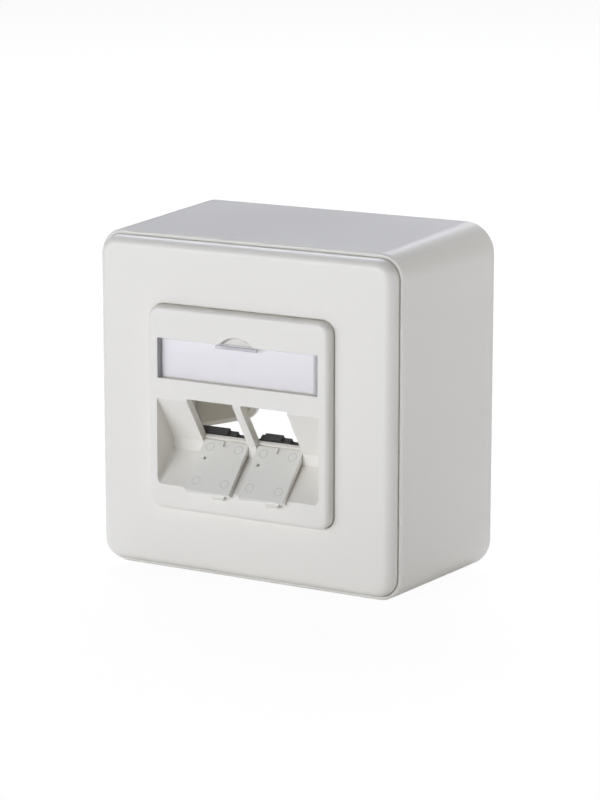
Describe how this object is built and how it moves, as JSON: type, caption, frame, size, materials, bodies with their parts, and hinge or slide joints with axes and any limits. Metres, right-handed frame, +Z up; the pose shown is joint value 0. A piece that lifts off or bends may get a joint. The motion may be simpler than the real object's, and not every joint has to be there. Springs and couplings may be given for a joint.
{
  "type": "surface mount jack box",
  "caption": "Square wall box in off-white plastic with a rounded cover frame and a raised centre plate: a clear label window above angled ports with hinged dust flaps.",
  "frame": {"origin": "centre of the four wall screw holes, on the wall face of the box", "axes": "+X to the right seen from the front, +Y into the wall, +Z up; the room is on the -Y side"},
  "size_m": [0.0862, 0.0517, 0.0862],
  "materials": {
    "box_plastic": "satin, very slightly pebbled",
    "frame_plastic": "satin",
    "plate_plastic": "satin",
    "flap_plastic": "satin, moulded",
    "ring_steel": "zinc plated sheet",
    "screw_steel": "zinc plated",
    "label_paper": "smooth paper",
    "clear_plastic": "clear, polished",
    "holder_plastic": "matt dark grey"
  },
  "bodies": {
    "box": {"surface_box": "box_plastic", "cover_frame": "frame_plastic", "centre_plate": "plate_plastic", "support_ring": "ring_steel", "screw_left": "screw_steel", "screw_right": "screw_steel", "label_strip": "label_paper", "module_holder": "holder_plastic"},
    "window": {"label_window": "clear_plastic"},
    "left_flap": {"flap_left": "flap_plastic"},
    "right_flap": {"flap_right": "flap_plastic"}
  },
  "joints": [
    {"name": "flap_left_hinge", "type": "hinge", "parent": "box", "child": "left_flap", "pos_m": [-0.0075, -0.0418, -0.00896], "axis": [-1, 0, 0], "range_deg": [0, 103.6]},
    {"name": "flap_right_hinge", "type": "hinge", "parent": "box", "child": "right_flap", "pos_m": [0.0075, -0.0418, -0.00896], "axis": [-1, 0, 0], "range_deg": [0, 103.6]},
    {"name": "label_window_slide", "type": "slide", "parent": "box", "child": "window", "axis": [0, -1, 0], "range_m": [0, 0.006]}
  ]
}
